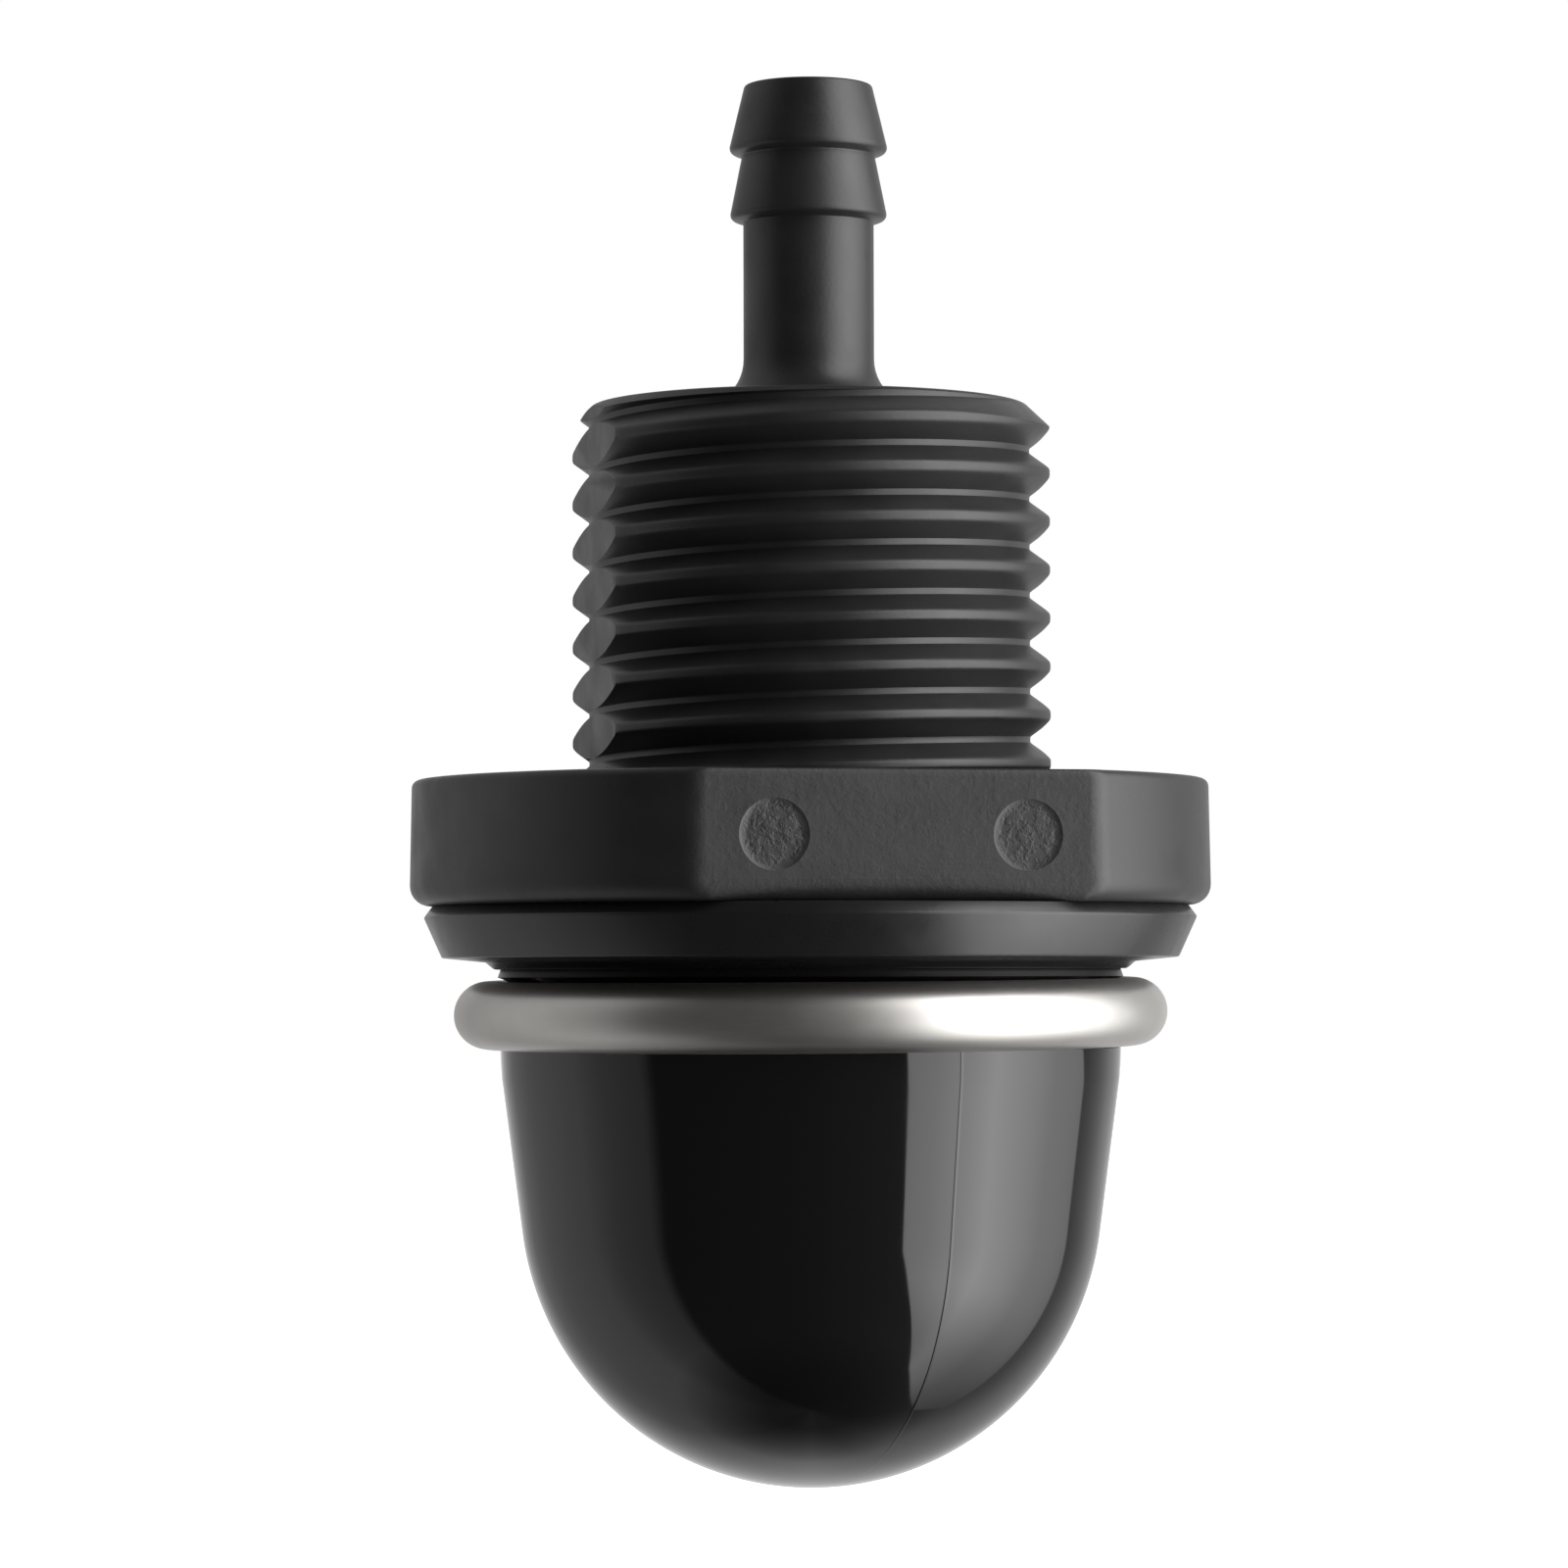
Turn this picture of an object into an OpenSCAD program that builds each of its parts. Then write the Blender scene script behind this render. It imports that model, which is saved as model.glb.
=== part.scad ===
// Siphon bulb pump: a rubber bulb on a panel fitting with a threaded shank, a hose barb
// and two small ball valves.
// The origin is the centre of the flange's panel face. +Z runs along the shank to the barb.

/* [Hose barb] */
// Outside diameter at the open tip
tip_d = 5.4; // [4.8:0.1:5.5]
// Diameter over each barb
barb_d = 6.5; // [6:0.1:7.4]
// Diameter between the two barbs
undercut_d = 5.5; // [5.2:0.1:5.8]
// Outside diameter of the plain stem
stem_d = 5.45; // [5:0.05:5.8]
// Length of the stem and barbs above the shank
barb_len = 13.4; // [11:0.1:18]
// Distance from one barb's edge to the next
barb_pitch = 2.9; // [2.4:0.1:3.4]
// Length of the lead-in cone at the tip
lead_len = 2.5; // [1.8:0.1:3]
// Length of the short back slope under each barb
back_len = 0.6; // [0.3:0.1:0.8]
// Radius of the flare where the stem meets the shank
flare_r = 2; // [0.5:0.1:2.2]
// Diameter of the passage through the barb
passage_d = 2.8; // [1.5:0.1:3.4]

/* [Threaded shank] */
// Major diameter of the thread
thread_d = 20; // [20:0.1:22]
// Pitch of the thread
pitch = 2; // [1.5:0.1:2.5]
// Depth of the thread on the radius
thread_depth = 0.85; // [0.6:0.05:1]
// Length of the shank above the flange
shank_len = 15.6; // [14.5:0.1:24]
// Height of the chamfer at the top of the shank, measured on the thread's root
shank_chamfer = 0.25; // [0.2:0.05:1]
// How far the two flats on the thread cut below its root
flat_cut = 0.05; // [0.04:0.01:0.3]
// Angle at which the thread's crest meets the flange's plane
thread_start = 225; // [0:1:359]

/* [Flange] */
// Outside diameter of the flange at its panel face
flange_d = 33; // [31:0.1:38]
// Thickness of the flange
flange_t = 5.2; // [4:0.1:8]
// Growth of the flange's radius from its panel face to its underside
flange_draft = 0.12; // [0:0.02:0.2]
// Distance across the two spanner flats
flats_af = 28.7; // [27:0.1:30]
// Rounding of the flange's edges
flange_edge = 0.55; // [0.2:0.05:0.9]
// Rounding between a spanner flat and the round rim
flat_corner = 1.6; // [0.5:0.1:2.5]
// Width of the relief groove outside the thread's crests
relief_w = 0.7; // [0.3:0.1:1.2]
// Depth of the relief groove
relief_depth = 0.4; // [0.2:0.1:0.8]
// Diameter of the two shallow ejector marks on the front flat
mark_d = 2.7; // [2:0.1:3]
// Distance of each ejector mark from the middle of the flat
mark_offset = 5.1; // [4:0.1:8]

/* [Spigot] */
// Outside diameter of the spigot that the bulb is pushed over
spigot_d = 22; // [21:0.1:22.4]
// Length of the spigot under the flange
spigot_len = 7.3; // [7:0.1:9]
// Depth of the groove round the spigot
groove_depth = 0.8; // [0.4:0.1:1]
// Height of the groove round the spigot
groove_h = 1.9; // [1.4:0.1:2.4]

/* [Bulb] */
// Thickness of the rubber round the spigot, at the neck
neck_wall = 1.89; // [1.7:0.01:2.2]
// Length of the neck between the lip's foot and the ring's groove
neck_len = 0.26; // [0.2:0.02:1]
// Step in from the neck's surface to the dome's
dome_step = 0.12; // [0:0.02:0.5]
// Slope of the dome's side
dome_slope = 7.5; // [6:0.5:10]
// Length of the bulb under the flange
bulb_len = 24.05; // [22:0.05:30]
// Thickness of the dome's wall
wall = 1.9; // [1.4:0.1:2.4]
// Step in from the flange's rim to the lip's edge
lip_inset = 0.48; // [0.2:0.02:1.2]
// Height of the lip at its outer edge
lip_h = 2.15; // [1.8:0.05:2.4]
// Taper of the lip's side from its top edge to its bottom edge
lip_taper = 0.75; // [0:0.05:1]
// Size of the chamfer at the lip's top edge
lip_chamfer = 0.4; // [0.2:0.05:0.6]

/* [Retaining ring] */
// Diameter of the ring's steel wire
wire_d = 2.8; // [2.4:0.1:3]
// Distance of the wire's middle outside the neck's surface
ring_stand = 0.4; // [0.1:0.02:0.8]

/* [Valve carrier] */
// Diameter of the pocket that the carrier sits in
pocket_d = 14; // [13.8:0.1:14.6]
// Height of the pocket's roof above the flange's panel face
pocket_top = 9; // [8.5:0.1:9.5]
// Height of the air gap between the carrier and the pocket's roof
air_gap = 1; // [0.6:0.1:1.4]
// Length of the carrier below its shoulder
carrier_len = 11; // [10.6:0.1:12]
// Diameter of the carrier's nose
nose_d = 6.8; // [6.6:0.1:7.2]
// Height of the nose above the carrier's shoulder
nose_len = 3.5; // [3.3:0.1:4]
// Thickness of the carrier's wall outside the inlet valve's cap
cap_wall = 0.55; // [0.4:0.05:0.8]
// Diameter of the vent hole in the shank's top face
vent_d = 1.6; // [1:0.1:1.8]
// Thickness between the vent hole and the pocket's wall
vent_wall = 0.6; // [0.4:0.1:0.9]

/* [Ball valves] */
// Diameter of each steel ball
ball_d = 3; // [2.6:0.1:3.1]
// Diameter of each valve's chamber
chamber_d = 3.5; // [3.4:0.05:3.6]
// Diameter of the throat under each valve's seat
throat_d = 1.6; // [1.2:0.1:1.8]
// Depth of the delivery valve's throat below the carrier's shoulder
delivery_drop = 4; // [3.6:0.1:4.4]
// Depth of the inlet valve's throat below the carrier's shoulder
inlet_drop = 3.6; // [3.2:0.1:4]
// Diameter of each valve's cap
cap_d = 4.3; // [4.1:0.1:4.4]
// Thickness of each valve's cap
cap_t = 1.3; // [1:0.1:1.5]
// Outside diameter of each valve spring
spring_d = 2.5; // [2.3:0.1:2.8]
// Diameter of each valve spring's wire
spring_wire = 0.3; // [0.2:0.02:0.36]
// Number of turns in each valve spring
spring_turns = 4; // [3:1:5]

/* [Seals and snap ring] */
// Section of the O-ring round the carrier
carrier_seal = 1.3; // [1.2:0.05:1.4]
// Depth of the carrier's O-ring below the carrier's shoulder
carrier_seal_drop = 1.7; // [1.4:0.1:1.9]
// Section of the O-ring round the nose
outlet_seal = 0.9; // [0.8:0.05:1]
// Distance of the nose's O-ring above the carrier's shoulder
outlet_seal_rise = 1.1; // [0.9:0.1:1.4]
// Thickness of the snap ring under the carrier
snap_t = 0.9; // [0.6:0.1:1.2]
// Depth of the snap ring's groove in the pocket wall
snap_depth = 0.5; // [0.3:0.1:0.7]
// Width of the snap ring's band
snap_w = 1.5; // [1.2:0.1:1.8]
// Angle of the snap ring's opening
snap_opening = 50; // [30:1:80]

/* [Clearances] */
// Gap between the rubber bulb and the parts that hold it
bulb_gap = 0.08; // [0.05:0.01:0.12]
// Gap round the carrier and its nose
carrier_gap = 0.1; // [0.05:0.01:0.15]
// Gap round each cap, O-ring and snap ring
small_gap = 0.03; // [0.01:0.01:0.05]
// Gap between each ball and its seat or spring
ball_gap = 0.04; // [0.02:0.01:0.06]

/* [Hidden] */
$fn = 72;
eps = 0.01;

tip_r = tip_d / 2;
barb_r = barb_d / 2;
undercut_r = undercut_d / 2;
stem_r = stem_d / 2;
tip_round = 0.2;
tip_z = shank_len + barb_len;
first_barb_z = tip_z - lead_len;
second_barb_z = first_barb_z - barb_pitch;

thread_r = thread_d / 2;
root_r = thread_r - thread_depth;
thread_steps = 24;
flat_x = root_r - flat_cut;
relief_r = thread_r + relief_w;
chamfer_slope = 1.06;
chamfer_r = root_r - chamfer_slope * shank_chamfer;
crest_round = 0.12;
crest_half = 0.12 * pitch;
root_half = 0.42 * pitch;
buried_r = root_r - 0.15;
buried_half = root_half + 0.15 * (root_half - crest_half) / (thread_depth - crest_round);

flange_r = flange_d / 2;
underside_z = -flange_t;
mark_depth = 0.12;

spigot_r = spigot_d / 2;
spigot_end = underside_z - spigot_len;

cuff_r = spigot_r + bulb_gap;
neck_r = cuff_r + neck_wall;
dome_r = neck_r - dome_step;
lip_r = flange_r - lip_inset;
lip_z = underside_z - lip_h;
neck_top = lip_z - 0.6;
groove_r = wire_d / 2 + bulb_gap;
ring_r = neck_r + ring_stand;
groove_half = sqrt(pow(groove_r, 2) - pow(ring_stand, 2));
ring_z = neck_top - neck_len - groove_half;
bulb_end = underside_z - bulb_len;
// the dome's side leaves the ring at side_z, and runs tangent into its round end
side_z = ring_z - groove_r - 1.2;
side_start_r = dome_r - 0.05;
end_r = (side_start_r * cos(dome_slope) - (side_z - bulb_end) * sin(dome_slope)) / (1 - sin(dome_slope));
end_z = bulb_end + end_r;
inner_end_r = end_r - wall;

pocket_r = pocket_d / 2;
carrier_r = pocket_r - carrier_gap;
shoulder_z = pocket_top - air_gap;
carrier_end = shoulder_z - carrier_len;
nose_r = nose_d / 2;
nose_bore_r = nose_r + carrier_gap;
nose_top = shoulder_z + nose_len;
vent_offset = pocket_r - vent_wall - vent_d / 2;
carrier_seal_z = shoulder_z - carrier_seal_drop;
outlet_seal_z = shoulder_z + outlet_seal_rise;

ball_r = ball_d / 2;
chamber_r = chamber_d / 2;
throat_r = throat_d / 2;
seat_h = chamber_r - throat_r;
delivery_throat = shoulder_z - delivery_drop;
inlet_throat = shoulder_z - inlet_drop;
ball_rise = ball_r * sqrt(2) - throat_r + ball_gap;
delivery_ball_z = delivery_throat + ball_rise;
inlet_ball_z = inlet_throat - ball_rise;
cap_r = cap_d / 2;
inlet_offset = carrier_r - cap_wall - cap_r;
cap_floor = nose_top - cap_t;
inlet_cap_top = carrier_end + cap_t;
snap_groove_r = pocket_r + snap_depth;

// Points of an arc about (x, y) from angle a0 to a1
function arc(x, y, r, a0, a1, n) =
    [for (i = [0:n]) let (a = a0 + (a1 - a0) * i / n) [x + r * cos(a), y + r * sin(a)]];

// Radius of the dome's side at height z, for a round end of radius r
function side_r(r, z) = (r + (z - end_z) * sin(dome_slope)) / cos(dome_slope);

// ---- Nylon fitting ----

module stem_and_barbs() {
    rotate_extrude()
        polygon(concat(
            [[0, shank_len - 1], [0, tip_z], [tip_r - tip_round, tip_z]],
            [[tip_r, tip_z - tip_round], [barb_r, first_barb_z]],
            [[undercut_r, first_barb_z - back_len], [barb_r, second_barb_z]],
            [[stem_r, second_barb_z - back_len]],
            arc(stem_r + flare_r, shank_len + flare_r, flare_r, 180, 270, 6),
            [[stem_r + flare_r, shank_len - 1]]));
}

module thread_ridge() {
    turns = ceil(shank_len / pitch) + 1;
    steps = turns * thread_steps;
    profile = [[buried_r, -buried_half], [thread_r - crest_round, -crest_half], [thread_r, 0],
               [thread_r - crest_round, crest_half], [buried_r, buried_half]];
    n = len(profile);
    points = [for (i = [0:steps], p = profile)
        let (a = thread_start + 360 * i / thread_steps, rise = -pitch + pitch * i / thread_steps)
        [p[0] * cos(a), p[0] * sin(a), p[1] + rise]];
    sides = [for (i = [0:steps - 1], j = [0:n - 1]) let (a = i * n, k = (j + 1) % n)
        [a + j, a + k, a + n + k, a + n + j]];
    first = [for (j = [n - 1:-1:0]) j];
    last = [for (j = [0:n - 1]) steps * n + j];
    polyhedron(points, concat(sides, [first, last]), convexity = 10);
}

module between_flats(low, high) {
    translate([-flat_x, -thread_r - 2, low])
        cube([2 * flat_x, 2 * thread_r + 4, high - low]);
}

module shank() {
    rim_r = thread_r + 1;
    intersection() {
        union() {
            rotate_extrude()
                polygon([[0, -1], [root_r, -1], [root_r, shank_len - shank_chamfer],
                         [chamfer_r, shank_len], [0, shank_len]]);
            intersection() {
                thread_ridge();
                rotate_extrude()
                    polygon([[0, -1.2], [rim_r, -1.2],
                             [rim_r, shank_len - (rim_r - chamfer_r) / chamfer_slope],
                             [chamfer_r, shank_len], [0, shank_len]]);
            }
        }
        between_flats(-2, shank_len + 1);
    }
}

module flange_plan() {
    corner_y = flats_af / 2 - flat_corner;
    corner_x = sqrt(pow(flange_r - flat_corner, 2) - pow(corner_y, 2));
    far = (flange_r + 2) / (flange_r - flat_corner);
    difference() {
        intersection() {
            circle(flange_r + flange_draft);
            square([2 * flange_r + 2, flats_af], center = true);
        }
        for (sx = [-1, 1], sy = [-1, 1])
            polygon([[sx * corner_x, sy * corner_y], [sx * corner_x, sy * (flats_af / 2 + 2)],
                     [sx * corner_x * far, sy * (flats_af / 2 + 2)],
                     [sx * corner_x * far, sy * corner_y * far]]);
    }
    for (sx = [-1, 1], sy = [-1, 1])
        translate([sx * corner_x, sy * corner_y])
            circle(flat_corner);
}

module flange() {
    e = flange_edge;
    low_r = flange_r + flange_draft;
    half_af = flats_af / 2;
    intersection() {
        rotate_extrude()
            polygon(concat([[0, underside_z]],
                arc(low_r - e, underside_z + e, e, -90, 0, 4),
                arc(flange_r - e, -e, e, 0, 90, 4), [[0, 0]]));
        rotate([90, 0, 90])
            linear_extrude(2 * low_r + 2, center = true)
                polygon(concat(arc(half_af - e, underside_z + e, e, -90, 0, 4),
                    arc(half_af - e, -e, e, 0, 90, 4), arc(e - half_af, -e, e, 90, 180, 4),
                    arc(e - half_af, underside_z + e, e, 180, 270, 4)));
        translate([0, 0, underside_z - 1])
            linear_extrude(flange_t + 2)
                flange_plan();
    }
}

module spigot() {
    rotate_extrude()
        polygon([[0, underside_z + 1], [0, spigot_end], [spigot_r - 0.5, spigot_end],
                 [spigot_r, spigot_end + 0.5], [spigot_r, ring_z - groove_h / 2],
                 [spigot_r - groove_depth, ring_z - groove_h / 2 + 0.6],
                 [spigot_r - groove_depth, ring_z + groove_h / 2 - 0.6],
                 [spigot_r, ring_z + groove_h / 2], [spigot_r, underside_z + 1]]);
}

module fitting_body() {
    color("#1c1c1d")
    difference() {
        union() {
            stem_and_barbs();
            shank();
            flange();
            spigot();
        }
        // passage through the barb, nose bore, carrier pocket and snap ring groove
        translate([0, 0, nose_top - eps])
            cylinder(d = passage_d, h = tip_z - nose_top + 1);
        translate([0, 0, pocket_top - eps])
            cylinder(r = nose_bore_r, h = nose_top - pocket_top + eps);
        translate([0, 0, spigot_end - 1])
            cylinder(r = pocket_r, h = pocket_top - spigot_end + 1);
        translate([0, 0, carrier_end - snap_t - small_gap])
            cylinder(r = snap_groove_r, h = snap_t + small_gap);
        // vent hole on the side away from the front flat
        translate([0, vent_offset, pocket_top - 1])
            cylinder(d = vent_d, h = shank_len - pocket_top + 2);
        // relief round the thread, and the ejector marks
        translate([0, 0, -relief_depth])
            difference() {
                cylinder(r = relief_r, h = relief_depth + eps);
                intersection() {
                    translate([0, 0, -1])
                        cylinder(r = root_r, h = relief_depth + 2);
                    between_flats(-2, 2);
                }
            }
        for (side = [-1, 1])
            translate([side * mark_offset, -flats_af / 2 + mark_depth, -flange_t / 2])
                rotate([90, 0, 0])
                    cylinder(d = mark_d, h = 1);
    }
}

// ---- Bulb and its ring ----

module rubber_bulb() {
    low_lip_r = lip_r - lip_taper;
    side = asin(ring_stand / groove_r);
    low_side = asin((ring_r - dome_r) / groove_r);
    outer = concat(
        [[cuff_r, underside_z], [lip_r - lip_chamfer, underside_z]],
        [[lip_r, underside_z - 1.2 * lip_chamfer], [low_lip_r, lip_z + 0.25]],
        [[low_lip_r - 0.3, lip_z], [neck_r + 0.5, lip_z - 0.15], [neck_r, neck_top]],
        arc(ring_r, ring_z, groove_r, 90 + side, 270 - low_side, 10),
        [[dome_r, ring_z - groove_r - 0.2], [side_start_r, side_z]],
        arc(0, end_z, end_r, -dome_slope, -90, 16));
    inner = concat(
        arc(0, end_z, inner_end_r, -90, -dome_slope, 16),
        [[side_r(inner_end_r, spigot_end - 1), spigot_end - 1]],
        [[cuff_r, spigot_end - 0.3], [cuff_r, ring_z - groove_h / 2 + bulb_gap]],
        [[cuff_r - groove_depth, ring_z - groove_h / 2 + 0.6 + bulb_gap]],
        [[cuff_r - groove_depth, ring_z + groove_h / 2 - 0.6 - bulb_gap]],
        [[cuff_r, ring_z + groove_h / 2 - bulb_gap]]);
    color("#101011")
    rotate_extrude()
        polygon(concat(outer, inner));
}

module retaining_ring() {
    color("#a8a7a4")
    rotate_extrude()
        translate([ring_r, ring_z])
            circle(d = wire_d);
}

// ---- Valve carrier, its seals and its snap ring ----

module seal_groove(r, z, section) {
    translate([0, 0, z - section * 0.62])
        difference() {
            cylinder(r = r + 1, h = section * 1.24);
            translate([0, 0, -1])
                cylinder(r = r - section + carrier_gap, h = section + 3);
        }
}

module valve_carrier() {
    color("#d9d4c4")
    difference() {
        union() {
            translate([0, 0, carrier_end])
                cylinder(r = carrier_r, h = carrier_len);
            translate([0, 0, shoulder_z - 1])
                cylinder(r = nose_r, h = nose_len + 1);
        }
        // delivery valve: throat, seat, chamber and cap seat
        translate([0, 0, carrier_end - 1])
            cylinder(r = throat_r, h = delivery_throat - carrier_end + 1 + eps);
        translate([0, 0, delivery_throat])
            cylinder(r1 = throat_r, r2 = chamber_r, h = seat_h);
        translate([0, 0, delivery_throat + seat_h - eps])
            cylinder(r = chamber_r, h = nose_top - delivery_throat - seat_h + 1);
        translate([0, 0, cap_floor])
            cylinder(r = cap_r, h = cap_t + 1);
        // inlet valve, upside down beside it
        translate([0, inlet_offset, 0]) {
            translate([0, 0, inlet_throat - eps])
                cylinder(r = throat_r, h = shoulder_z - inlet_throat + 1);
            translate([0, 0, inlet_throat - seat_h])
                cylinder(r1 = chamber_r, r2 = throat_r, h = seat_h);
            translate([0, 0, carrier_end - 1])
                cylinder(r = chamber_r, h = inlet_throat - seat_h - carrier_end + 1 + eps);
            translate([0, 0, carrier_end - 1])
                cylinder(r = cap_r, h = cap_t + 1);
        }
        seal_groove(pocket_r, carrier_seal_z, carrier_seal);
        seal_groove(nose_bore_r, outlet_seal_z, outlet_seal);
    }
}

module o_ring(bore_r, z, section) {
    rotate_extrude()
        translate([bore_r - (section - carrier_gap) / 2, z])
            circle(d = section - carrier_gap - 2 * small_gap);
}

module carrier_o_ring() {
    color("#242426")
        o_ring(pocket_r, carrier_seal_z, carrier_seal);
}

module outlet_o_ring() {
    color("#242426")
        o_ring(nose_bore_r, outlet_seal_z, outlet_seal);
}

module snap_ring() {
    outer_r = snap_groove_r - small_gap;
    band_mid = outer_r - snap_w / 2;
    lug_angle = 270 + snap_opening / 2;
    color("#8f9194")
    translate([0, 0, carrier_end - snap_t])
        difference() {
            union() {
                rotate([0, 0, lug_angle])
                    rotate_extrude(angle = 360 - snap_opening)
                        translate([outer_r - snap_w, 0])
                            square([snap_w, snap_t]);
                for (side = [-1, 1])
                    rotate([0, 0, 270 + side * (snap_opening / 2 + 4)])
                        translate([band_mid - 0.4, 0, 0])
                            cylinder(r = 1, h = snap_t);
            }
            for (side = [-1, 1])
                rotate([0, 0, 270 + side * (snap_opening / 2 + 4)])
                    translate([band_mid - 0.5, 0, -1])
                        cylinder(r = 0.5, h = snap_t + 2);
        }
}

// ---- Ball valves ----

module ball(y, z) {
    color("#b9bbbe")
    translate([0, y, z])
        sphere(ball_r);
}

module delivery_ball() {
    ball(0, delivery_ball_z);
}

module inlet_ball() {
    ball(inlet_offset, inlet_ball_z);
}

// Round wire wound from height z0 up to z1, with closed end turns
module coil_spring(y, z0, z1) {
    coil_r = (spring_d - spring_wire) / 2;
    wire_r = spring_wire / 2;
    length = z1 - z0 - spring_wire;
    around = 16;
    sides = 6;
    steps = (spring_turns + 2) * around;
    closed = 1.15 * spring_wire;
    // the first and last turns lie nearly flat, one wire's width high
    function height(t) = t < 1 ? closed * t
        : t < spring_turns + 1 ? closed + (length - 2 * closed) * (t - 1) / spring_turns
        : length - closed * (spring_turns + 2 - t);
    points = [for (i = [0:steps], j = [0:sides - 1])
        let (t = i / around, a = 360 * t, b = 360 * j / sides, r = coil_r + wire_r * cos(b))
        [r * cos(a), r * sin(a), z0 + wire_r + height(t) + wire_r * sin(b)]];
    skin = [for (i = [0:steps - 1], j = [0:sides - 1]) let (a = i * sides, k = (j + 1) % sides)
        [a + j, a + sides + j, a + sides + k, a + k]];
    first = [for (j = [0:sides - 1]) j];
    last = [for (j = [sides - 1:-1:0]) steps * sides + j];
    color("#9ea0a3")
    translate([0, y, 0])
        polyhedron(points, concat(skin, [first, last]), convexity = 10);
}

module delivery_spring() {
    coil_spring(0, delivery_ball_z + ball_r + ball_gap, cap_floor - small_gap);
}

module inlet_spring() {
    coil_spring(inlet_offset, inlet_cap_top + small_gap, inlet_ball_z - ball_r - ball_gap);
}

module valve_cap() {
    difference() {
        cylinder(r = cap_r - small_gap, h = cap_t);
        translate([0, 0, -1])
            cylinder(r = throat_r, h = cap_t + 2);
    }
}

module delivery_cap() {
    color("#c9a24a")
    translate([0, 0, cap_floor])
        valve_cap();
}

module inlet_cap() {
    color("#c9a24a")
    translate([0, inlet_offset, carrier_end])
        valve_cap();
}

fitting_body();
rubber_bulb();
retaining_ring();
valve_carrier();
carrier_o_ring();
outlet_o_ring();
snap_ring();
delivery_ball();
delivery_spring();
delivery_cap();
inlet_ball();
inlet_spring();
inlet_cap();
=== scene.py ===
import math

import bmesh
import bpy
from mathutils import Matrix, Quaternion, Vector


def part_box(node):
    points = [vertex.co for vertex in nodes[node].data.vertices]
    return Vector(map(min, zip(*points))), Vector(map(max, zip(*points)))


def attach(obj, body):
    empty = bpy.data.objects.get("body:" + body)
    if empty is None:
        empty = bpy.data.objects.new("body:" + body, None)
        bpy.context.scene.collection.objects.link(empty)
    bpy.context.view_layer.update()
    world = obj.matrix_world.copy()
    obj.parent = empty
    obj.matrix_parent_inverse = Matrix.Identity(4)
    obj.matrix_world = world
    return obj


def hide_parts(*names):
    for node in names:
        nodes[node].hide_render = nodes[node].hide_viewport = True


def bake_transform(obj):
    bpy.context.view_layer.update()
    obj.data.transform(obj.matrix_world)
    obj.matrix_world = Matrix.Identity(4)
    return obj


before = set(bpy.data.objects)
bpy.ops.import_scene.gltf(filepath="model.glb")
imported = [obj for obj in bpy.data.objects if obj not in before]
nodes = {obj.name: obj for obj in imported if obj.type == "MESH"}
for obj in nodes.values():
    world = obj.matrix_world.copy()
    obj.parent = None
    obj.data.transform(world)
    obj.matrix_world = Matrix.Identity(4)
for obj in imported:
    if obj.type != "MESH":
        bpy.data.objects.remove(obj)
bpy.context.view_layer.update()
mm = 0.001


# small helpers for meshes

def makePiece(name, points, faces, material=None):
    mesh = bpy.data.meshes.new(name)
    mesh.from_pydata(points, [], faces)
    mesh.update()
    piece = bpy.data.objects.new(name, mesh)
    bpy.context.scene.collection.objects.link(piece)
    if material:
        mesh.materials.append(material)
    return piece


def roundCorners(corners, steps=5):
    # corners are (r, z) or (r, z, fillet), all in millimetres
    path = []
    for i, corner in enumerate(corners):
        here = Vector(corner[:2])
        fillet = corner[2] if len(corner) > 2 else 0
        if not fillet:
            path.append(tuple(here))
            continue
        before = (Vector(corners[i - 1][:2]) - here).normalized()
        after = (Vector(corners[(i + 1) % len(corners)][:2]) - here).normalized()
        half = math.acos(max(-1, min(1, before.dot(after)))) / 2
        reach = fillet / math.tan(half)
        centre = here + (before + after).normalized() * fillet / math.sin(half)
        start, end = here + before * reach - centre, here + after * reach - centre
        sweep = start.angle_signed(end)
        for k in range(steps + 1):
            turn = -sweep * k / steps
            c, s = math.cos(turn), math.sin(turn)
            path.append((centre.x + start.x * c - start.y * s, centre.y + start.x * s + start.y * c))
    return path


def arcPoints(r, z, radius, start, end, steps):
    turns = [math.radians(start + (end - start) * i / steps) for i in range(steps + 1)]
    return [(r + radius * math.cos(a), z + radius * math.sin(a)) for a in turns]


def evenAngles(count, extra=()):
    return sorted([2 * math.pi * i / count for i in range(count)] + [a % (2 * math.pi) for a in extra])


def skinRows(name, rows, material, closed=False):
    # each row is a ring of points, or a single point at a pole
    points, starts = [], []
    for row in rows:
        starts.append(len(points))
        points += [tuple(v * mm for v in point) for point in row]
    faces = []
    pairs = list(zip(range(len(rows) - 1), range(1, len(rows))))
    if closed:
        pairs.append((len(rows) - 1, 0))
    for low, high in pairs:
        a, b = starts[low], starts[high]
        n = max(len(rows[low]), len(rows[high]))
        if n == 1:
            continue
        for j in range(n):
            k = (j + 1) % n
            if len(rows[low]) == 1:
                faces.append((a, b + k, b + j))
            elif len(rows[high]) == 1:
                faces.append((a + j, a + k, b))
            else:
                faces.append((a + j, a + k, b + k, b + j))
    return makePiece(name, points, faces, material)


def turnProfile(name, profile, angles, material=None, closed=False):
    rows = []
    for r, z in profile:
        if r < 1e-6:
            rows.append([(0, 0, z)])
        else:
            rows.append([(r * math.cos(a), r * math.sin(a), z) for a in angles])
    return skinRows(name, rows, material, closed)


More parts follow.
